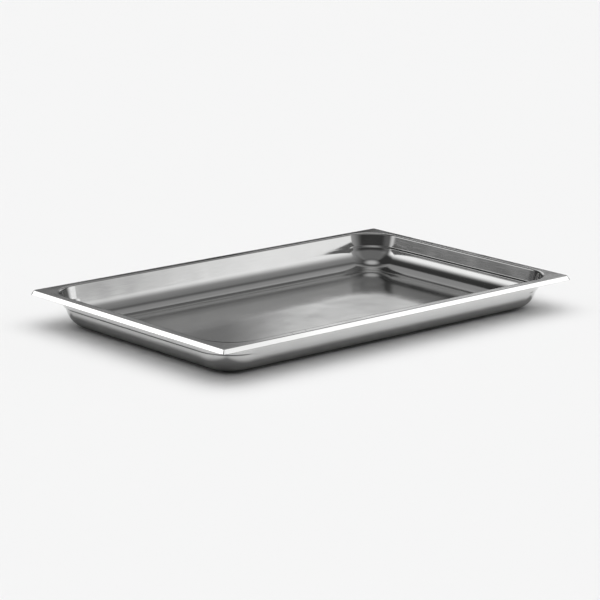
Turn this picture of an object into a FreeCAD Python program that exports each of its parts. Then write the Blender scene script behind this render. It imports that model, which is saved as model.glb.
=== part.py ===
"""Shallow full-size food pan, drawn from one sheet of stainless steel.

Frame: millimetres, +Z up. X runs along the pan's length and Y along its width.
The origin is on the underside of the floor, at its centre, where the pan rests.

The pan is one sheet, so one body holds it. Every horizontal cut through a pan like this
is a rectangle with rounded corners, so the body is built from such outlines, joined in
straight bands: the rim with its sloped lip, the neck, the stacking shoulder and the tub.
Each band is made once for the outside and once, a sheet's thickness in, for the hollow.
"""
import FreeCAD, Part
import os

import Sketcher

doc = FreeCAD.newDocument("food_pan")

# ---------------------------------------------------------------- driving sizes
SIZES = [
    ("overall_length", 530.0, "over the lips, along X"),
    ("overall_width", 325.0, "over the lips, along Y"),
    ("pan_height", 40.0, "underside of the floor to the top of the rim"),
    ("sheet", 0.8, "thickness of the steel"),
    ("lip_reach", 4.1, "how far the lip slopes outward"),
    ("lip_drop", 4.8, "how far the lip slopes down"),
    ("lip_corner", 5.0, "corner radius of the lip's free edge, seen from above"),
    ("rim_corner", 1.2, "corner radius of the bend from lip to rim, seen from above"),
    ("wall_inset", 7.6, "bend of the lip to the outside of the wall, at the rim's height"),
    ("rim_bend", 2.0, "radius of the bend from rim to wall, on the top surface"),
    ("wall_slope", 0.25, "lean of the walls, inward for each millimetre down"),
    ("neck_corner", 42.0, "corner radius of the neck, at the rim's height"),
    ("neck_depth", 14.4, "top of the rim to the stacking shoulder"),
    ("shoulder_drop", 1.8, "height of the stacking shoulder"),
    ("shoulder_step", 1.1, "how far the shoulder steps in at the short ends, beyond the wall's lean"),
    ("tub_corner", 45.0, "corner radius of the tub just under the shoulder"),
    ("base_radius", 28.3, "outside radius of the curve from wall to floor"),
]

# What follows from the sizes above, as formulas in the same table.
FORMULAS = [
    ("rim_length", "=overall_length - 2 * lip_reach"),
    ("rim_width", "=overall_width - 2 * lip_reach"),
    ("neck_length", "=rim_length - 2 * wall_inset"),
    ("neck_width", "=rim_width - 2 * wall_inset"),
    ("lip_slope", "=sqrt(lip_reach * lip_reach + lip_drop * lip_drop)"),
    ("lip_wall", "=sheet * lip_slope / lip_drop"),
    ("lip_rise", "=lip_reach * sheet / lip_drop"),
    ("tub_height", "=pan_height - neck_depth - shoulder_drop"),
    ("neck_lean", "=wall_slope * neck_depth"),
    ("neck_end_length", "=neck_length - 2 * neck_lean"),
    ("neck_end_width", "=neck_width - 2 * neck_lean"),
    ("shoulder_lean", "=wall_slope * shoulder_drop"),
    ("tub_length", "=neck_end_length - 2 * shoulder_lean - 2 * shoulder_step"),
    ("tub_width", "=neck_end_width - 2 * shoulder_lean"),
    ("tub_lean", "=wall_slope * tub_height"),
    ("floor_length", "=tub_length - 2 * tub_lean"),
    ("floor_width", "=tub_width - 2 * tub_lean"),
    ("bend_reach", "=sqrt(1 + wall_slope * wall_slope) - wall_slope"),
    ("base_room", "=0.97 * tub_height * sqrt(1 + wall_slope * wall_slope) / bend_reach"),
    ("base_curve", "=min(base_radius; base_room)"),
]

sheet_table = doc.addObject("Spreadsheet::Sheet", "Sizes")
rows = [(name, str(value), note) for name, value, note in SIZES]
rows += [(name, formula, "worked out") for name, formula in FORMULAS]
for row, (name, content, note) in enumerate(rows, start=1):
    sheet_table.set(f"A{row}", name)
    sheet_table.set(f"B{row}", content)
    sheet_table.set(f"C{row}", note)
    sheet_table.setAlias(f"B{row}", name)
doc.recompute()


def size(name):
    """The value of one named size, for code that has to find an edge or check a volume."""
    return float(getattr(sheet_table, name))


# ---------------------------------------------------------------- outlines and bands
body = doc.addObject("PartDesign::Body", "pan_shell")
body.Label = "pan_shell"
ground = next(f for f in body.Origin.OriginFeatures if f.Role == "XY_Plane")


def outline(name, height, length, width, corner):
    """A rounded rectangle centred on the Z axis at a height; all four sizes are expressions."""
    sketch = body.newObject("Sketcher::SketchObject", name)
    sketch.AttachmentSupport = [(ground, "")]
    sketch.MapMode = "FlatFace"
    sketch.setExpression("AttachmentOffset.Base.z", height)
    x, y, r = 100.0, 60.0, 10.0
    v = FreeCAD.Vector
    quarter = 1.5707963267948966
    front = sketch.addGeometry(Part.LineSegment(v(r - x, -y, 0), v(x - r, -y, 0)))
    right = sketch.addGeometry(Part.LineSegment(v(x, r - y, 0), v(x, y - r, 0)))
    rear = sketch.addGeometry(Part.LineSegment(v(x - r, y, 0), v(r - x, y, 0)))
    left = sketch.addGeometry(Part.LineSegment(v(-x, y - r, 0), v(-x, r - y, 0)))
    centres = [(x - r, r - y), (x - r, y - r), (r - x, y - r), (r - x, r - y)]
    corners = []
    for turn, (cx, cy) in enumerate(centres, start=-1):
        circle = Part.Circle(v(cx, cy, 0), v(0, 0, 1), r)
        arc = Part.ArcOfCircle(circle, turn * quarter, (turn + 1) * quarter)
        corners.append(sketch.addGeometry(arc))
    start, end, centre, origin = 1, 2, 3, (-1, 1)
    sides = [front, right, rear, left]
    rules = []
    for k, corner_arc in enumerate(corners):
        rules.append(Sketcher.Constraint("Tangent", sides[k], end, corner_arc, start))
        rules.append(Sketcher.Constraint("Tangent", corner_arc, end, sides[(k + 1) % 4], start))
    rules.append(Sketcher.Constraint("Horizontal", front))
    rules.append(Sketcher.Constraint("Vertical", right))
    rules.append(Sketcher.Constraint("Horizontal", rear))
    rules.append(Sketcher.Constraint("Vertical", left))
    for corner_arc in corners[1:]:
        rules.append(Sketcher.Constraint("Equal", corners[0], corner_arc))
    rules.append(Sketcher.Constraint("Symmetric", corners[0], centre, corners[2], centre, *origin))
    for rule in rules:
        sketch.addConstraint(rule)
    driving = [
        ("length", Sketcher.Constraint("DistanceX", left, start, right, start, 2 * x), length),
        ("width", Sketcher.Constraint("DistanceY", front, start, rear, start, 2 * y), width),
        ("corner", Sketcher.Constraint("Radius", corners[0], r), corner),
    ]
    for label, rule, expression in driving:
        sketch.renameConstraint(sketch.addConstraint(rule), label)
        sketch.setExpression(f"Constraints.{label}", expression)
    doc.recompute()
    return sketch


def band(kind, name, lower, upper):
    """A straight-sided band between two outlines: "Additive" adds it, "Subtractive" cuts it."""
    loft = body.newObject(f"PartDesign::{kind}Loft", name)
    loft.Profile = (lower, [""])
    loft.Sections = [(upper, [""])]
    loft.Ruled = True
    doc.recompute()
    return loft


def level_edges(shape, height, length, width):
    """Names of the shape's edges at a height that lie on an outline of the given length and width."""
    names = []
    for number, edge in enumerate(shape.Edges, start=1):
        box = edge.BoundBox
        flat = abs(box.ZMin - height) < 1e-4 and abs(box.ZMax - height) < 1e-4
        reach_x = max(abs(box.XMin), abs(box.XMax))
        reach_y = max(abs(box.YMin), abs(box.YMax))
        on_side_x = abs(reach_x - length / 2) < 1e-3
        on_side_y = abs(reach_y - width / 2) < 1e-3
        if flat and (on_side_x or on_side_y):
            names.append(f"Edge{number}")
    return names


def round_edges(name, base, edges, radius):
    """Round eight edges of one outline, four straight and four at the corners."""
    if len(edges) != 8:
        raise RuntimeError(f"{name}: found {len(edges)} edges, wanted 8")
    rounding = body.newObject("PartDesign::Fillet", name)
    rounding.Base = (base, edges)
    rounding.setExpression("Radius", radius)
    doc.recompute()
    return rounding


S = "Sizes."
RIM = f"{S}pan_height"
NECK_END = f"{S}tub_height + {S}shoulder_drop"
TUB_START = f"{S}tub_height"


def wall_outlines(prefix, inward, floor):
    """The four outlines of the walls, top to bottom, all moved inward by the same distance.

    The walls lean by the same slope all round. The shoulder steps in a little more at the short
    ends, and most in the corners, where the tub's radius is larger than the neck's. On the long
    sides it has faded out, and the wall is one straight slope.
    """
    less = f" - 2 * {inward}"
    top = outline(f"{prefix}_top", RIM, f"{S}neck_length{less}", f"{S}neck_width{less}",
                  f"{S}neck_corner - {inward}")
    neck = outline(f"{prefix}_neck", NECK_END, f"{S}neck_end_length{less}",
                   f"{S}neck_end_width{less}", f"{S}neck_corner - {S}neck_lean - {inward}")
    tub = outline(f"{prefix}_tub", TUB_START, f"{S}tub_length{less}", f"{S}tub_width{less}",
                  f"{S}tub_corner - {inward}")
    base = outline(f"{prefix}_floor", floor, f"{S}floor_length{less}", f"{S}floor_width{less}",
                   f"{S}tub_corner - {S}tub_lean - {inward}")
    return top, neck, tub, base


# ---------------------------------------------------------------- the rim and its lip
lip_edge = outline("lip_edge", f"{RIM} - {S}lip_drop", f"{S}overall_length", f"{S}overall_width",
                   f"{S}lip_corner")
lip_bend = outline("lip_bend", RIM, f"{S}rim_length", f"{S}rim_width", f"{S}rim_corner")
band("Additive", "rim_block", lip_edge, lip_bend)

# The channel under the rim leaves the rim and the lip one sheet thick.
UNDER = f"2 * ({S}lip_rise - {S}lip_wall)"
channel_edge = outline("channel_edge", f"{RIM} - {S}lip_drop", f"{S}overall_length - 2 * {S}lip_wall",
                       f"{S}overall_width - 2 * {S}lip_wall", f"{S}lip_corner - {S}lip_wall")
channel_top = outline("channel_top", f"{RIM} - {S}sheet", f"{S}rim_length + {UNDER}",
                      f"{S}rim_width + {UNDER}", f"{S}rim_corner + {S}lip_rise - {S}lip_wall")
band("Subtractive", "rim_channel", channel_edge, channel_top)

# ---------------------------------------------------------------- the walls and the hollow
out_top, out_neck, out_tub, out_floor = wall_outlines("outside", f"0 * {S}sheet", f"0 * {S}sheet")
band("Additive", "neck_block", out_top, out_neck)
band("Additive", "shoulder_block", out_neck, out_tub)
band("Additive", "tub_block", out_tub, out_floor)

in_top, in_neck, in_tub, in_floor = wall_outlines("inside", f"{S}sheet", f"{S}sheet")
band("Subtractive", "neck_hollow", in_top, in_neck)
band("Subtractive", "shoulder_hollow", in_neck, in_tub)
sharp_pan = band("Subtractive", "tub_hollow", in_tub, in_floor)

# ---------------------------------------------------------------- the bends
# Each bend is rounded on the side where it adds steel first, so the sheet never opens.
sheet = size("sheet")
floor_length, floor_width = size("floor_length"), size("floor_width")
neck_length, neck_width = size("neck_length"), size("neck_width")
fall = sheet / size("neck_depth")
under_length = neck_length + (size("neck_end_length") - neck_length) * fall
under_width = neck_width + (size("neck_end_width") - neck_width) * fall

edges = level_edges(sharp_pan.Shape, sheet, floor_length - 2 * sheet, floor_width - 2 * sheet)
bent = round_edges("base_inside", sharp_pan, edges, f"{S}base_curve - {S}sheet")
edges = level_edges(bent.Shape, 0.0, floor_length, floor_width)
bent = round_edges("base_outside", bent, edges, f"{S}base_curve")
edges = level_edges(bent.Shape, size("pan_height") - sheet, under_length, under_width)
bent = round_edges("rim_bend_under", bent, edges, f"{S}rim_bend - {S}sheet")
edges = level_edges(bent.Shape, size("pan_height"), neck_length - 2 * sheet, neck_width - 2 * sheet)
bent = round_edges("rim_bend_top", bent, edges, f"{S}rim_bend")

# ---------------------------------------------------------------- checks and files
doc.recompute()
failed = [o.Name for o in doc.Objects if "Invalid" in o.State or "Error" in o.State]
if failed:
    raise RuntimeError(f"failed objects: {failed}")
shape = body.Shape
if shape.isNull() or not shape.isValid() or len(shape.Solids) != 1:
    raise RuntimeError("pan_shell is not one valid solid")
steel = shape.Volume / size("sheet")
print(f"pan_shell: {shape.Volume:.0f} mm3, about {steel / 100:.0f} cm2 of sheet")

os.makedirs("parts", exist_ok=True)
shape.exportStep("parts/pan_shell.step")
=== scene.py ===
# %% [markdown]
# # A shallow food pan in polished stainless steel
#
# A deli or steam-table pan is one sheet of stainless steel, pressed over a die: a flat floor, leaning
# walls with a generous curve where they meet the floor, a flat rim to hang from, and a lip that slopes
# off the rim and stiffens it. This lesson builds that one sheet as a single surface worked out with
# numpy, gives it the thickness of the real steel, and then spends its effort on what makes polished
# steel look like steel: a finish with a grain, a hand and some wear, and a studio for it to mirror.

# %% Load the frame
import math

import bpy
import numpy as np
from mathutils import Matrix, Vector


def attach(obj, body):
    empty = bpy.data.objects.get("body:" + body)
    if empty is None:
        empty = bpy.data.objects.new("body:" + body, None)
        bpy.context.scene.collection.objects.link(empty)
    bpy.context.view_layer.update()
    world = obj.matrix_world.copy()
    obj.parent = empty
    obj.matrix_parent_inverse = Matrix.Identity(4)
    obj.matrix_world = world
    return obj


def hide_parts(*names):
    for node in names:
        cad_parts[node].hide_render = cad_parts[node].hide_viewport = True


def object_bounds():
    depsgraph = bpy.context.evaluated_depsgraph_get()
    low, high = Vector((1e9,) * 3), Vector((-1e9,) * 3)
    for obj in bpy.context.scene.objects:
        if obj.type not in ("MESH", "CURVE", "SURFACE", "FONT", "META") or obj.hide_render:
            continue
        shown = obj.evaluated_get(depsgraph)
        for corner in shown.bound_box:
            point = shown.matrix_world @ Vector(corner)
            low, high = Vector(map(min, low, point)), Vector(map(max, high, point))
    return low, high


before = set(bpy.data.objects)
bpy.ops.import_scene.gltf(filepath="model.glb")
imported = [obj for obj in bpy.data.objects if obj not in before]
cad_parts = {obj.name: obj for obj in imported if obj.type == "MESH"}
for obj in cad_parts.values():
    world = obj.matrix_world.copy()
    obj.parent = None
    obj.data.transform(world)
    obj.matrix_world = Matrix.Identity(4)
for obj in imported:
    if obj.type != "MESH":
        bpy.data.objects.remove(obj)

cad_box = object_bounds()
low, high = (np.array(corner) for corner in cad_box)
LENGTH, WIDTH, HEIGHT = high - low
print(f"CAD box: {LENGTH:.4f} x {WIDTH:.4f} x {HEIGHT:.4f} m")

# %% [markdown]
# ## The sizes of the sheet
#
# The overall sizes come from the frame. The others are what a press shop would put on its drawing,
# in millimetres. On the real pan every bend has a radius, because the sheet would crack at a sharp one:
# small where the lip and the walls leave the rim, and very large at the foot of the walls, so that a
# spoon or a cloth reaches everywhere.

# %% Sizes from the press shop's drawing
MM = 0.001
SHEET = 0.8 * MM            # thickness of the steel
LIP_REACH = 4.1 * MM        # how far the lip goes out beyond the flat rim
LIP_DROP = 4.8 * MM         # how far its edge hangs below the rim
LIP_BEND = 1.4 * MM         # radius of the bend between rim and lip, on the top face
LIP_CORNER = 5.0 * MM       # corner radius of the lip's edge, seen from above
WALL_INSET = 8.4 * MM       # edge of the flat rim to the face of the wall, at the rim's height
RIM_BEND = 2.0 * MM         # radius of the bend between rim and wall
WALL_SLOPE = 0.25           # lean of the walls, inward for each millimetre down
NECK_DEPTH = 14.4 * MM      # top of the rim to the stacking shoulder
SHOULDER_DROP = 1.8 * MM    # height of the stacking shoulder
SHOULDER_STEP = 1.1 * MM    # how far the shoulder steps in at the short ends
SHOULDER_BEND = 0.9 * MM    # radius of its two bends
NECK_CORNER = 41.2 * MM     # corner radius of the neck's face, at the rim's height
TUB_CORNER = 44.2 * MM      # corner radius of the tub's face under the shoulder
FOOT_CURVE = 27.5 * MM      # radius of the curve from wall to floor, on the inside

RIM_X = LENGTH / 2 - LIP_REACH
RIM_Y = WIDTH / 2 - LIP_REACH
TUB_TOP = HEIGHT - NECK_DEPTH - SHOULDER_DROP
print(f"flat rim starts {RIM_X / MM:.1f} by {RIM_Y / MM:.1f} mm from the middle")

# %% [markdown]
# ## A profile with rounded bends
#
# Cut the pan across and the sheet shows as a line with a few bends. Drawing that line as straight
# runs and rounding each bend afterwards is how a draughtsman would do it, and it keeps each radius
# a plain number. The same helper serves both cuts: the long sides, which are one straight slope, and
# the short ends, where a small shoulder steps in below the neck for the next pan in a stack to rest on.

# %% Round the bends of a profile
def rounded(points, radii, steps):
    """A line through the points with its inner ones rounded, as one array of (inset, height).

    A bend of radius r between runs that turn by an angle t starts r * tan(t / 2) before its point
    and ends as far after it. In between, the direction turns evenly from the first run's to the
    second's, so each place on it is the start plus r times the change of the runs' normal.
    """
    points = np.array(points, float)
    line = [points[:1]]
    for before, corner, after, radius in zip(points, points[1:], points[2:], radii):
        into, out = corner - before, after - corner
        into, out = into / np.hypot(*into), out / np.hypot(*out)
        turn = math.atan2(into[0] * out[1] - into[1] * out[0], into @ out)
        start = corner - into * radius * math.tan(abs(turn) / 2)
        side = math.copysign(1, turn)
        angle = math.atan2(into[1], into[0]) + turn * np.linspace(0, 1, steps)
        normal = np.c_[-np.sin(angle), np.cos(angle)]
        line.append(start + side * radius * (normal[0] - normal))
    line.append(points[-1:])
    return np.concatenate(line)


FOOT_INSET = WALL_INSET + WALL_SLOPE * (HEIGHT - SHEET)
FLOOR_START = 60 * MM       # any inset that is well inside the foot curve
STEPS = 120
side_cut = rounded(
    [(0, HEIGHT), (WALL_INSET, HEIGHT), (FOOT_INSET, SHEET), (FLOOR_START, SHEET)],
    [RIM_BEND, FOOT_CURVE], STEPS)
neck_foot = WALL_INSET + WALL_SLOPE * NECK_DEPTH
tub_inset = WALL_INSET + WALL_SLOPE * (HEIGHT - TUB_TOP) + SHOULDER_STEP
end_foot = tub_inset + WALL_SLOPE * (TUB_TOP - SHEET)
end_cut = rounded(
    [(0, HEIGHT), (WALL_INSET, HEIGHT), (neck_foot, HEIGHT - NECK_DEPTH), (tub_inset, TUB_TOP),
     (end_foot, SHEET), (FLOOR_START, SHEET)],
    [RIM_BEND, SHOULDER_BEND, 0.2 * MM, FOOT_CURVE], STEPS)
print(f"side cut {len(side_cut)} points, end cut {len(end_cut)} points")

# %% [markdown]
# ## Rows down the wall
#
# The sheet is one grid. Its rows run round the pan and its columns run from the lip's edge down to the
# floor. Each row is a rounded rectangle at one height, so a row needs four numbers: how far it is inset
# on the long sides, how far at the ends, its height and its corner radius. Rows sit close together in
# the bends, where the light turns quickly, and further apart on the straight runs.

# %% Work out the rows
def lip_rows():
    """Rows of the lip and its bend, from the lip's free edge up to the flat rim.

    The lip is a straight run tangent to a bend of radius r that starts level at the rim's edge. The
    run's angle a is the one whose reach, r sin a + l cos a, and drop, r (1 - cos a) + l sin a, match
    the lip's, found by halving the interval of angles.
    """
    shallow, steep = math.atan2(LIP_DROP, LIP_REACH), math.radians(85)
    for _ in range(40):
        angle = (shallow + steep) / 2
        run = (LIP_DROP - LIP_BEND * (1 - math.cos(angle))) / math.sin(angle)
        reach = LIP_BEND * math.sin(angle) + run * math.cos(angle)
        shallow, steep = (angle, steep) if reach > LIP_REACH else (shallow, angle)
    along = np.linspace(1, 0, 8)[:-1]
    turned = angle * np.linspace(1, 0, 12)
    bend_out, bend_down = LIP_BEND * np.sin(turned), LIP_BEND * (1 - np.cos(turned))
    out = np.concatenate([bend_out[0] + along * run * math.cos(angle), bend_out])
    down = np.concatenate([bend_down[0] + along * run * math.sin(angle), bend_down])
    corner = np.maximum(LIP_CORNER - (LIP_REACH - out), 0.9 * MM)
    print(f"the lip slopes at {math.degrees(angle):.1f} degrees over {run / MM:.1f} mm")
    return np.c_[-out, -out, HEIGHT - down, corner]


def rim_rows(first_corner):
    """Rows of the flat rim: the inset grows, and the corner radius grows with it to the neck's."""
    start = np.array([side_cut[1, 0], end_cut[1, 0]])
    part = np.linspace(0, 1, 12)[1:]
    inset = part[:, None] * start
    corner = first_corner + (NECK_CORNER + RIM_BEND - first_corner) * part
    return np.c_[inset, np.full(len(part), HEIGHT), corner]


def wall_rows():
    """Rows from the rim down to the floor, at heights picked from both cuts.

    The corner radius shrinks by whatever the end wall is inset, apart from the shoulder, over
    which it eases from the neck's radius to the tub's.
    """
    bend = HEIGHT - RIM_BEND * (1 - np.cos(np.linspace(0.12, 1.45, 12)))
    neck = np.linspace(bend[-1], HEIGHT - NECK_DEPTH + 1 * MM, 9)[1:-1]
    shoulder = np.linspace(HEIGHT - NECK_DEPTH + 1 * MM, TUB_TOP - 0.6 * MM, 22)
    foot = SHEET + FOOT_CURVE * (1 - np.cos(np.linspace(1.34, 0, 46)))
    height = np.concatenate([bend, neck, shoulder, foot])
    side = np.interp(-height, -side_cut[:, 1], side_cut[:, 0])
    end = np.interp(-height, -end_cut[:, 1], end_cut[:, 0])
    side[-1] = foot_end(side_cut)
    end[-1] = foot_end(end_cut)
    eased = np.clip((HEIGHT - NECK_DEPTH - height) / SHOULDER_DROP, 0, 1)
    eased = eased * eased * (3 - 2 * eased)
    grown = TUB_CORNER - NECK_CORNER + SHOULDER_STEP
    corner = NECK_CORNER + WALL_INSET - end + grown * eased
    return np.c_[side, end, height, corner]


def foot_end(cut):
    """Inset at which a cut's foot curve reaches the floor: its last point before the floor's run."""
    return cut[-2, 0]


lip = lip_rows()
rim = rim_rows(lip[-1, 3])
walls = wall_rows()
rows = np.concatenate([lip, rim, walls])
print(f"{len(rows)} rows, corner radius {rows[:, 3].min() / MM:.1f} to {rows[:, 3].max() / MM:.1f} mm")

# %% [markdown]
# ## Columns round the pan
#
# Going round a rounded rectangle, each place is the centre of one of its four corner arcs, or
# somewhere between two of them, plus the corner radius along an outward direction. Those centres
# and directions are the same for every row, so a row is four multiplications away from its points,
# and the whole sheet comes out of one array expression.

# %% Work out the columns
CORNER_STEPS = 40
SIDE_STEPS = 12


def columns():
    """Centre multipliers and outward directions of all columns, each an array of (x, y).

    On a corner the centre stays and the direction turns through a quarter; on a side the direction
    stays and the centre moves evenly to the next corner.
    """
    signs = np.array([(1, 1), (-1, 1), (-1, -1), (1, -1)], float)
    centres, directions = [], []
    for quarter in range(4):
        angle = (quarter + np.linspace(0, 1, CORNER_STEPS + 1)) * math.pi / 2
        turning = np.c_[np.cos(angle), np.sin(angle)]
        part = np.linspace(0, 1, SIDE_STEPS + 1)[1:-1, None]
        here, following = signs[quarter], signs[(quarter + 1) % 4]
        centres += [np.tile(here, (len(angle), 1)), here + (following - here) * part]
        directions += [turning, np.tile(turning[-1], (len(part), 1))]
    return np.concatenate(centres), np.concatenate(directions)


def sheet_grid(rows):
    """All points of the sheet, as an array of rows by columns by (x, y, z).

    point = centre multiplier * (half size - corner radius) + direction * corner radius.
    """
    centres, directions = columns()
    half = np.c_[RIM_X - rows[:, 1], RIM_Y - rows[:, 0]]
    corner = rows[:, 3][:, None, None]
    flat = centres[None] * (half[:, None] - corner) + directions[None] * corner
    height = np.broadcast_to(rows[:, 2][:, None, None], flat.shape[:2] + (1,))
    return np.concatenate([flat, height], axis=2)


grid = sheet_grid(rows)
print(f"grid of {grid.shape[0]} rows by {grid.shape[1]} columns")

# %% [markdown]
# ## The floor
#
# The floor goes on from the last row as smaller and smaller copies of it, down to one point in the
# middle. A pressed floor is never perfectly flat: it keeps a crown of a tenth of a millimetre or so
# from the press, and that is why a mirror image in it bends a little.

# %% Add the floor's rings
FLOOR_RINGS = 14
CROWN = 0.05 * MM


def floor_rings(last_row):
    """Rings of the floor: the last row scaled about the middle, lifted by crown * (1 - s^2)^2."""
    scale = np.linspace(1, 0, FLOOR_RINGS + 1)[1:-1]
    rings = last_row[None] * np.array([1, 1, 0]) * scale[:, None, None]
    lift = CROWN * (1 - scale**2) ** 2
    rings[:, :, 2] = last_row[0, 2] + lift[:, None]
    return rings


grid = np.concatenate([grid, floor_rings(grid[-1])])
middle = np.array([0, 0, SHEET + CROWN])
print(f"with its floor the sheet has {grid.shape[0] * grid.shape[1] + 1} points")

# %% [markdown]
# ## From arrays to a mesh
#
# The faces of a grid that closes on itself are the four neighbours of each cell, with the column
# number wrapped round. The middle of the floor closes with a fan. The sheet gets a UV map in metres,
# with the distance round the pan in u and the distance down the sheet in v, so that a polishing grain
# can follow the walls round the corners.

# %% Build the sheet
def sheet_faces(row_count, column_count):
    """Corner numbers of the four-sided cells, and of the triangles round the middle point."""
    number = np.arange(row_count * column_count).reshape(row_count, column_count)
    beside = np.roll(number, -1, axis=1)
    cells = np.stack([number[:-1], beside[:-1], beside[1:], number[1:]], axis=-1)
    fan = np.stack([number[-1], beside[-1], np.full(column_count, number.size)], axis=-1)
    return cells.reshape(-1, 4), fan


def follow_uv(mesh, grid):
    """Gives the mesh a UV map in metres: u round the pan, taken on the wall, and v down the sheet.

    A cell's four corners take u and v from their own column and row, and the last column's cells
    end at the full length round, so that no cell runs backwards over the seam.
    """
    row_count, column_count = grid.shape[:2]
    wall = grid[len(lip) + len(rim) + 10]
    around = np.linalg.norm(np.roll(wall, -1, axis=0) - wall, axis=1)
    u = np.concatenate([[0], np.cumsum(around)])
    down = np.linalg.norm(np.diff(grid[:, column_count // 8], axis=0), axis=1)
    v = np.concatenate([[0], np.cumsum(down), [down.sum() + down[-1]]])
    row, column = np.mgrid[0:row_count - 1, 0:column_count]
    cell_u = np.stack([u[column], u[column + 1], u[column + 1], u[column]], axis=-1)
    cell_v = np.stack([v[row], v[row], v[row + 1], v[row + 1]], axis=-1)
    ring = np.arange(column_count)
    fan_u = np.stack([u[ring], u[ring + 1], u[ring]], axis=-1)
    fan_v = np.broadcast_to([v[-2], v[-2], v[-1]], fan_u.shape)
    uv = np.stack([np.concatenate([cell_u.ravel(), fan_u.ravel()]),
                   np.concatenate([cell_v.ravel(), fan_v.ravel()])], axis=-1)
    layer = mesh.uv_layers.new(name="along_the_sheet")
    layer.data.foreach_set("uv", uv.ravel())
    print(f"the sheet is {u[-1]:.3f} m round and {v[-1]:.3f} m from lip to middle")


def turn_outward(mesh):
    """Makes all faces of the open sheet point the same way, up out of the pan."""
    import bmesh
    work = bmesh.new()
    work.from_mesh(mesh)
    bmesh.ops.recalc_face_normals(work, faces=work.faces)
    floor_face = max(work.faces, key=lambda face: -face.calc_center_median().xy.length)
    if floor_face.normal.z < 0:
        bmesh.ops.reverse_faces(work, faces=work.faces)
    work.to_mesh(mesh)
    work.free()


cells, fan = sheet_faces(*grid.shape[:2])
points = np.concatenate([grid.reshape(-1, 3), [middle]])
pan_mesh = bpy.data.meshes.new("pan_sheet")
pan_mesh.from_pydata(points, [], cells.tolist() + fan.tolist())
follow_uv(pan_mesh, grid)
turn_outward(pan_mesh)
pan_mesh.polygons.foreach_set("use_smooth", np.ones(len(pan_mesh.polygons), bool))
pan = bpy.data.objects.new("pan_sheet", pan_mesh)
bpy.context.scene.collection.objects.link(pan)

# %% [markdown]
# ## Thickness and a softened edge
#
# The surface so far is the face that food touches. Solidify carries it down by the sheet's thickness,
# which is how the real blank behaves in the press: both faces keep the same distance everywhere. The
# free edge of the lip is sheared and then linished so that it doesn't cut hands, and a small bevel
# makes that softened edge.

# %% Give the sheet its thickness
thickness = pan.modifiers.new("sheet thickness", "SOLIDIFY")
thickness.thickness = SHEET
thickness.offset = -1
thickness.use_even_offset = True
softened = pan.modifiers.new("linished edge", "BEVEL")
softened.width = 0.16 * MM
softened.segments = 2
softened.limit_method = "ANGLE"
softened.angle_limit = math.radians(50)
softened.harden_normals = False
print(f"{len(pan_mesh.polygons)} faces before its thickness")

# %% [markdown]
# ## Polished steel
#
# A new food pan is bright but not a mirror. Rolling leaves a faint grain along the sheet, and the
# polishing belts leave one that follows the walls. The polish is a little uneven, the pressed walls are
# very slightly wavy, and handling adds hair scratches: most on the rim, where pans slide over each other
# and over the edge of the well. All of that is small, so it changes roughness and slope more than colour.
#
# Colour, roughness and bump all come from noise. Noise stretched along one direction is a grain; the
# floor's runs along the pan and is read from Object coordinates, and the walls' runs round the pan and
# is read from the UV map.

# %% Helpers for the material's nodes
steel = bpy.data.materials.new("polished_steel")
steel.use_nodes = True
nodes, links = steel.node_tree.nodes, steel.node_tree.links
surface = nodes["Principled BSDF"]
places = nodes.new("ShaderNodeTexCoord")


def noise(source, scale, detail=2.0, stretch=(1, 1, 1), turn=0.0):
    """A noise value from 0 to 1: scale is waves a metre, divided along each axis by stretch."""
    mapping = nodes.new("ShaderNodeMapping")
    mapping.vector_type = "TEXTURE"
    mapping.inputs["Scale"].default_value = stretch
    mapping.inputs["Rotation"].default_value = (0, 0, turn)
    links.new(places.outputs[source], mapping.inputs["Vector"])
    texture = nodes.new("ShaderNodeTexNoise")
    texture.inputs["Scale"].default_value = scale
    texture.inputs["Detail"].default_value = detail
    links.new(mapping.outputs["Vector"], texture.inputs["Vector"])
    return texture.outputs["Fac"]


def ramp(value, start, end, low_value, high_value):
    """Maps a value smoothly from start..end to low_value..high_value, held at both ends."""
    node = nodes.new("ShaderNodeMapRange")
    node.interpolation_type = "SMOOTHSTEP"
    sockets = {"From Min": start, "From Max": end, "To Min": low_value, "To Max": high_value}
    for name, number in sockets.items():
        node.inputs[name].default_value = number
    links.new(value, node.inputs["Value"])
    return node.outputs["Result"]


def calculate(operation, first, second):
    """One arithmetic step between two node values, or a node value and a number."""
    node = nodes.new("ShaderNodeMath")
    node.operation = operation
    for socket, value in zip(node.inputs, (first, second)):
        if isinstance(value, (int, float)):
            socket.default_value = value
        else:
            links.new(value, socket)
    return node.outputs[0]


def blend(amount, first, second):
    """first where amount is 0 and second where it is 1."""
    return calculate("ADD", calculate("MULTIPLY", calculate("SUBTRACT", 1.0, amount), first),
                     calculate("MULTIPLY", amount, second))


# %% Where the wall, the rim and the floor are
split = nodes.new("ShaderNodeSeparateXYZ")
links.new(places.outputs["Object"], split.inputs["Vector"])
level = split.outputs["Z"]
on_wall = ramp(level, 0.002, 0.012, 0.0, 1.0)
on_rim = ramp(level, HEIGHT - 1.2 * MM, HEIGHT - 0.3 * MM, 0.0, 1.0)

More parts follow.
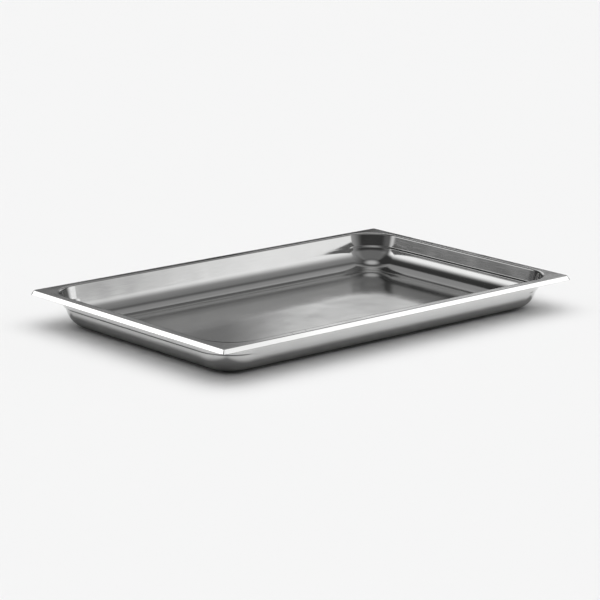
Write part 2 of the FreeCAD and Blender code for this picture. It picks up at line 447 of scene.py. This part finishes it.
# %% Grain, polish, scratches and waviness
floor_grain = noise("Object", 1500, detail=3.0, stretch=(60, 1, 1))
wall_grain = noise("UV", 1700, detail=3.0, stretch=(45, 1, 1))
grain = blend(on_wall, floor_grain, wall_grain)
cloud = noise("Object", 14, detail=3.0)
smear = noise("Object", 55, detail=4.0, stretch=(3, 1, 1), turn=0.5)
scratch_one = ramp(noise("Object", 700, detail=1.0, stretch=(90, 1, 1), turn=0.35), 0.70, 0.76, 0.0, 1.0)
scratch_two = ramp(noise("Object", 620, detail=1.0, stretch=(1, 80, 1), turn=-0.55), 0.71, 0.77, 0.0, 1.0)
scratches = calculate("MAXIMUM", scratch_one, scratch_two)
waves = noise("Object", 22, detail=1.0)
print("grain, polish, scratches and waviness are in place")

# %% [markdown]
# ## Putting the finish together
#
# Roughness is the main thing that tells satin from mirror. It starts low, the clouds of the polish move
# it by a third, and the grain adds fine streaks, which are stronger on the walls. The floor is a little
# duller all over, as if wiped most, and scratches dull the rim most of all. The bump uses the same grain
# and scratches, so a streak that is duller is also the one that tilts the light.

# %% Roughness, colour and bump
polish = calculate("ADD", ramp(cloud, 0.3, 0.7, 0.045, 0.085), ramp(smear, 0.45, 0.75, 0.0, 0.02))
streaks = calculate("MULTIPLY", ramp(grain, 0.25, 0.75, 0.0, 1.0), blend(on_wall, 0.02, 0.045))
wear = calculate("MULTIPLY", scratches, blend(on_rim, 0.03, 0.14))
floor_dullness = blend(on_wall, 0.035, 0.0)
roughness = calculate("ADD", calculate("ADD", polish, streaks), calculate("ADD", wear, floor_dullness))
links.new(roughness, surface.inputs["Roughness"])

shade = nodes.new("ShaderNodeMix")
shade.data_type = "RGBA"
shade.inputs["A"].default_value = (0.76, 0.76, 0.755, 1)
shade.inputs["B"].default_value = (0.82, 0.82, 0.815, 1)
patchy = calculate("ADD", calculate("MULTIPLY", cloud, 0.5), calculate("MULTIPLY", grain, 0.5))
links.new(ramp(patchy, 0.35, 0.65, 0.0, 1.0), shade.inputs["Factor"])
links.new(shade.outputs["Result"], surface.inputs["Base Color"])
surface.inputs["Metallic"].default_value = 1.0


def bump(height, distance, below=None):
    """Tilts the surface by a height pattern of the given depth in metres, on top of another bump."""
    node = nodes.new("ShaderNodeBump")
    node.inputs["Distance"].default_value = distance
    links.new(height, node.inputs["Height"])
    if below is not None:
        links.new(below, node.inputs["Normal"])
    return node.outputs["Normal"]


wavy = bump(waves, 0.00012)
streaky = bump(grain, 0.0000012, wavy)
links.new(bump(scratches, -0.0000015, streaky), surface.inputs["Normal"])
pan_mesh.materials.append(steel)
print(f"polished steel has {len(nodes)} nodes")

# %% [markdown]
# ## The studio
#
# Polished steel has hardly any colour of its own: it shows the room. A product studio gives it a large
# soft box on each side, bright low down and fading upward, a dim panel above and behind, and a white
# board low at the back that the pan's floor mirrors. A ceiling and a dim room behind the camera keep the
# pan from going black when it is seen from above or from the other side. Everything else stays dark,
# which is what draws the crisp lines along the bends.
#
# All of these are patches of light on the sky, placed by bearing (0 is straight ahead of the camera, 90
# is to its right) and by rise above the horizon. Their edges are soft, so they are as smooth as a big
# diffuser.

# %% The sky as a set of soft panels
VIEW_TURN = -0.7517         # which way the camera faces, about Z, in radians
world = bpy.data.worlds.new("studio")
bpy.context.scene.world = world
world.use_nodes = True
nodes, links = world.node_tree.nodes, world.node_tree.links
sky = nodes["Background"]
places = nodes.new("ShaderNodeTexCoord")


def dot(direction):
    """How far the sky's direction goes along a given one."""
    node = nodes.new("ShaderNodeVectorMath")
    node.operation = "DOT_PRODUCT"
    node.inputs[1].default_value = direction
    links.new(places.outputs["Generated"], node.inputs[0])
    return node.outputs["Value"]


to_right = dot((math.cos(VIEW_TURN), math.sin(VIEW_TURN), 0))
away = dot((-math.sin(VIEW_TURN), math.cos(VIEW_TURN), 0))
bearing = calculate("MULTIPLY", calculate("ARCTAN2", to_right, away), 180 / math.pi)
rise = calculate("MULTIPLY", calculate("ARCSINE", dot((0, 0, 1)), 0.0), 180 / math.pi)


def product(*values):
    """All values multiplied together."""
    result = values[0]
    for value in values[1:]:
        result = calculate("MULTIPLY", result, value)
    return result


def band(value, edges, strength=1.0):
    """strength between two soft edges and 0 outside: edges are (dark, full, full, dark)."""
    start, full, last_full, end = edges
    return product(ramp(value, start, full, 0.0, strength), ramp(value, last_full, end, 1.0, 0.0))


def panel(bearings, rises, strength):
    """A soft patch of light. Each of bearings and rises is (dark, full, full, dark) in degrees."""
    return calculate("MULTIPLY", product(band(bearing, bearings), band(rise, rises)), strength)


PANELS = {
    "right soft box": panel((62, 80, 95, 101.5), (-20, -10, 14, 38), 0.62),
    "glow over the right soft box": panel((54, 70, 98, 145), (-20, -10, 12, 86), 0.30),
    "left soft box": panel((-120, -100, -76, -68), (7.5, 12, 19, 37), 0.95),
    "glow under the left soft box": panel((-150, -125, -70, -60), (-20, -10, 14, 45), 0.08),
    "back panel": panel((-58, -50, 40, 66), (30, 42, 48, 74), 0.24),
    "back glow": panel((-40, 0, 40, 66), (15, 24, 36, 50), 0.16),
    "ceiling": panel((-200, -190, 190, 200), (68, 85, 95, 99), 0.45),
    "room behind on the right": panel((108, 130, 181, 182), (14, 26, 60, 84), 0.12),
    "room behind on the left": panel((-182, -181, -135, -112), (14, 26, 60, 84), 0.12),
    "low white board": panel((-1.9, 0.6, 40, 55), (13.2, 13.8, 17, 21), 0.68),
    "low side board": panel((-30, -8, -4.2, -2.6), (14.0, 14.6, 17, 21), 0.20),
    "low grey board": panel((-40, -20, 40, 55), (13.4, 14.2, 17, 21), 0.15),
}
DARK_ROOM = 0.035           # the light where there is no panel
light = DARK_ROOM
for name, strength in PANELS.items():
    light = calculate("ADD", strength, light)
tint = nodes.new("ShaderNodeCombineColor")
for channel in ("Red", "Green", "Blue"):
    links.new(light, tint.inputs[channel])
links.new(tint.outputs["Color"], sky.inputs["Color"])
print(f"the studio has {len(PANELS)} panels: {', '.join(PANELS)}")

# %% [markdown]
# ## Two strips close to the lip
#
# A sky that is infinitely far away looks the same from every part of the pan. A white strip that stands
# only two to four centimetres from the lip doesn't: the lip beside it mirrors it and the far wall looks
# over it, and that is what makes the lip the brightest line of the whole pan. In a real studio it would
# be narrow white card, laid just out of view. Here each strip is one upright sheet that is seen in
# reflections only. Its glow is worked out from Object coordinates, so that its edges are soft.

# %% Make a sheet of the studio
def studio_sheet(name, corners, panes, seen_directly):
    """A sheet that neither lights nor shades, and is seen only directly or only in reflections.

    Returns the object and the nodes and links of its empty material.
    """
    mesh = bpy.data.meshes.new(name)
    mesh.from_pydata(corners, [], panes)
    sheet = bpy.data.objects.new(name, mesh)
    bpy.context.scene.collection.objects.link(sheet)
    material = bpy.data.materials.new(name)
    material.use_nodes = True
    material.node_tree.nodes.clear()
    mesh.materials.append(material)
    sheet.visible_diffuse = sheet.visible_shadow = False
    sheet.visible_camera = seen_directly
    sheet.visible_glossy = not seen_directly
    return sheet, material.node_tree.nodes, material.node_tree.links


def places_on_sheet():
    """The three Object coordinates of a point on the sheet whose nodes are being built."""
    separate = nodes.new("ShaderNodeSeparateXYZ")
    links.new(nodes.new("ShaderNodeTexCoord").outputs["Object"], separate.inputs["Vector"])
    return separate.outputs["X"], separate.outputs["Y"], separate.outputs["Z"]


# %% Stand the two strips beside the lip
ONE_PANE = [(0, 1, 2, 3)]


def upright(axis, distance, ends, top):
    """Four corners of an upright sheet: its distance along one level axis, its ends on the other."""
    outline = [(ends[0], 0.0), (ends[1], 0.0), (ends[1], top), (ends[0], top)]
    if axis == "x":
        return [(distance, along, z) for along, z in outline]
    return [(along, distance, z) for along, z in outline]


def right_glow(x, y, z):
    """A band at the height that the right lip mirrors, a little dimmer towards the near corner."""
    return product(band(z, (0.044, 0.050, 0.068, 0.075), 1.1), ramp(x, -0.24, 0.02, 0.75, 1.0))


def left_glow(x, y, z):
    """A band at the height that the left lip mirrors."""
    return band(z, (0.056, 0.064, 0.094, 0.102), 1.35)


STRIPS = {
    "right_strip": (upright("y", -0.178, (-0.28, 0.34), 0.08), right_glow),
    "left_strip": (upright("x", -0.30, (-0.17, 0.26), 0.11), left_glow),
}
for name, (corners, glow) in STRIPS.items():
    strip, nodes, links = studio_sheet(name, corners, ONE_PANE, seen_directly=False)
    shine = nodes.new("ShaderNodeEmission")
    links.new(glow(*places_on_sheet()), shine.inputs["Strength"])
    both = nodes.new("ShaderNodeAddShader")
    links.new(shine.outputs["Emission"], both.inputs[0])
    links.new(nodes.new("ShaderNodeBsdfTransparent").outputs["BSDF"], both.inputs[1])
    links.new(both.outputs["Shader"], nodes.new("ShaderNodeOutputMaterial").inputs["Surface"])
print("two strips stand beside the lip")

# %% [markdown]
# ## The table
#
# The table is a plain pale surface with a broad soft light of its own from above. That light is kept out
# of reflections, so that the steel mirrors the panels and not a second bright disc overhead.

# %% The table and its light
TABLE_REACH = 16.0
TABLE_LEVEL = -0.0002       # a hair under the pan, so that the two faces don't flicker
PALE = (0.82, 0.82, 0.82, 1)
bpy.ops.mesh.primitive_plane_add(size=2 * TABLE_REACH, location=(0, 0, TABLE_LEVEL))
table_top = bpy.context.object
table_top.name = "table_top"
pale = bpy.data.materials.new("pale_table")
pale.use_nodes = True
paint = pale.node_tree.nodes["Principled BSDF"]
paint.inputs["Base Color"].default_value = PALE
paint.inputs["Roughness"].default_value = 0.9
paint.inputs["Specular IOR Level"].default_value = 0.0
table_top.data.materials.append(pale)

overhead = bpy.data.lights.new("overhead_softener", "SUN")
overhead.energy = 2.9
overhead.angle = math.radians(100)
overhead_lamp = bpy.data.objects.new("overhead_softener", overhead)
bpy.context.scene.collection.objects.link(overhead_lamp)
overhead_lamp.visible_glossy = False
print("pale table and its soft light from above")

# %% [markdown]
# ## A pale wall far behind
#
# Seen from table height, the dark sky would stand behind the pan. A round wall of pale paper, far out
# and seen only directly, takes its place, and changes nothing that the steel mirrors.

# %% Stand the wall far behind
WALL_SIDES = 64
WALL_DISTANCE = 0.9 * TABLE_REACH
WALL_FOOT, WALL_HEAD = -0.1, TABLE_REACH
PAPER_BRIGHTNESS = 0.93
turns = np.linspace(0, 2 * np.pi, WALL_SIDES, endpoint=False)
ring = WALL_DISTANCE * np.stack([np.cos(turns), np.sin(turns)], axis=1)
wall_points = np.concatenate([np.column_stack([ring, np.full(WALL_SIDES, level)])
                              for level in (WALL_FOOT, WALL_HEAD)])
number = np.arange(WALL_SIDES)
following = (number + 1) % WALL_SIDES
wall_panes = np.stack([number, following, following + WALL_SIDES, number + WALL_SIDES], axis=1)
backdrop, nodes, links = studio_sheet("backdrop", wall_points.tolist(), wall_panes.tolist(),
                                      seen_directly=True)
paper = nodes.new("ShaderNodeEmission")
paper.inputs["Strength"].default_value = PAPER_BRIGHTNESS
links.new(paper.outputs["Emission"], nodes.new("ShaderNodeOutputMaterial").inputs["Surface"])
print("pale wall stands far behind")

# %% [markdown]
# ## A film of painted shade over the table
#
# The outside of the pan mirrors the table beside it, and a table lit this evenly makes those walls flat
# and pale. A clear film that is seen in reflections only paints shade into what the steel mirrors: a
# little painted shade on the left, and a painted shadow underneath the pan that takes about half of the
# light away. It darkens the foot of the walls and brings out the line of the shoulder. It isn't a thing
# that stands in a real studio; black card laid by the pan comes closest.

# %% Lay the film of painted shade
FILM_REACH = 1.2
FILM_LEVEL = -0.0001        # between the table and the pan
# painted shade: the film lets a little less light through on the left, so the left outer walls mirror a
# darker table
LEFT_SHADE_TINT, RIGHT_SHADE_TINT = 0.88, 1.0
# painted shadow: under the pan the film takes this share of the mirrored light away, where the pan's
# shadow falls
PAINTED_SHADOW_UNDER_PAN = 0.55            # the share of the light that is taken away under the pan
film_corners = [(x, y, FILM_LEVEL) for x, y in ((-FILM_REACH, -FILM_REACH), (FILM_REACH, -FILM_REACH),
                                                (FILM_REACH, FILM_REACH), (-FILM_REACH, FILM_REACH))]
film, nodes, links = studio_sheet("painted_shade_film", film_corners, ONE_PANE, seen_directly=False)
x, y, _ = places_on_sheet()
# painted shadow mask: the pan's footprint on the film, soft at its edges
painted_shadow_lengthwise = ramp(calculate("ABSOLUTE", x, 0.0), 0.249, 0.263, PAINTED_SHADOW_UNDER_PAN, 0.0)
painted_shadow_widthwise = ramp(calculate("ABSOLUTE", y, 0.0), 0.145, 0.159, 1.0, 0.0)
light_left_by_painted_shadow = calculate("SUBTRACT", 1.0, product(painted_shadow_lengthwise, painted_shadow_widthwise))
painted_shade_filter = nodes.new("ShaderNodeBsdfTransparent")
links.new(product(ramp(x, -0.22, 0.18, LEFT_SHADE_TINT, RIGHT_SHADE_TINT), light_left_by_painted_shadow), painted_shade_filter.inputs["Color"])
links.new(painted_shade_filter.outputs["BSDF"], nodes.new("ShaderNodeOutputMaterial").inputs["Surface"])
print("grey film laid")

# %% [markdown]
# ## The camera
#
# The pan is seen from a little above, across one corner, through a long lens from nearly three metres,
# so its parallel edges stay almost parallel. The camera is placed by its bearing, its rise and its
# distance from the middle of the rim, and is rolled by about one degree.

# %% Place the camera
CAMERA_RISE = 0.2437
CAMERA_ROLL = 0.0214
CAMERA_DISTANCE = 2.72819
CAMERA_SHIFT = (-7.4166 * MM, -19.7566 * MM)    # of the camera, to its right and up
LENS = 145.68

back = Vector((math.sin(VIEW_TURN) * math.cos(CAMERA_RISE),
               -math.cos(VIEW_TURN) * math.cos(CAMERA_RISE), math.sin(CAMERA_RISE)))
level_right = Vector((math.cos(VIEW_TURN), math.sin(VIEW_TURN), 0))
right = Matrix.Rotation(CAMERA_ROLL, 3, back) @ level_right
up = back.cross(right)
place = right * CAMERA_SHIFT[0] + up * CAMERA_SHIFT[1] + back * CAMERA_DISTANCE + Vector((0, 0, HEIGHT))
camera_data = bpy.data.cameras.new("camera")
camera_data.lens = LENS
camera_data.sensor_width = 36
camera_data.clip_end = 60
camera = bpy.data.objects.new("camera", camera_data)
bpy.context.scene.collection.objects.link(camera)
camera.matrix_world = Matrix.Translation(place) @ Matrix((right, up, back)).transposed().to_4x4()
bpy.context.scene.camera = camera
bpy.context.scene.view_settings.view_transform = "Standard"
print(f"camera at {place.x:.3f}, {place.y:.3f}, {place.z:.3f}")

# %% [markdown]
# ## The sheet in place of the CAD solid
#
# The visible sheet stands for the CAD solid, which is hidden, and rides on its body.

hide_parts("pan_shell")
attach(pan, "root")
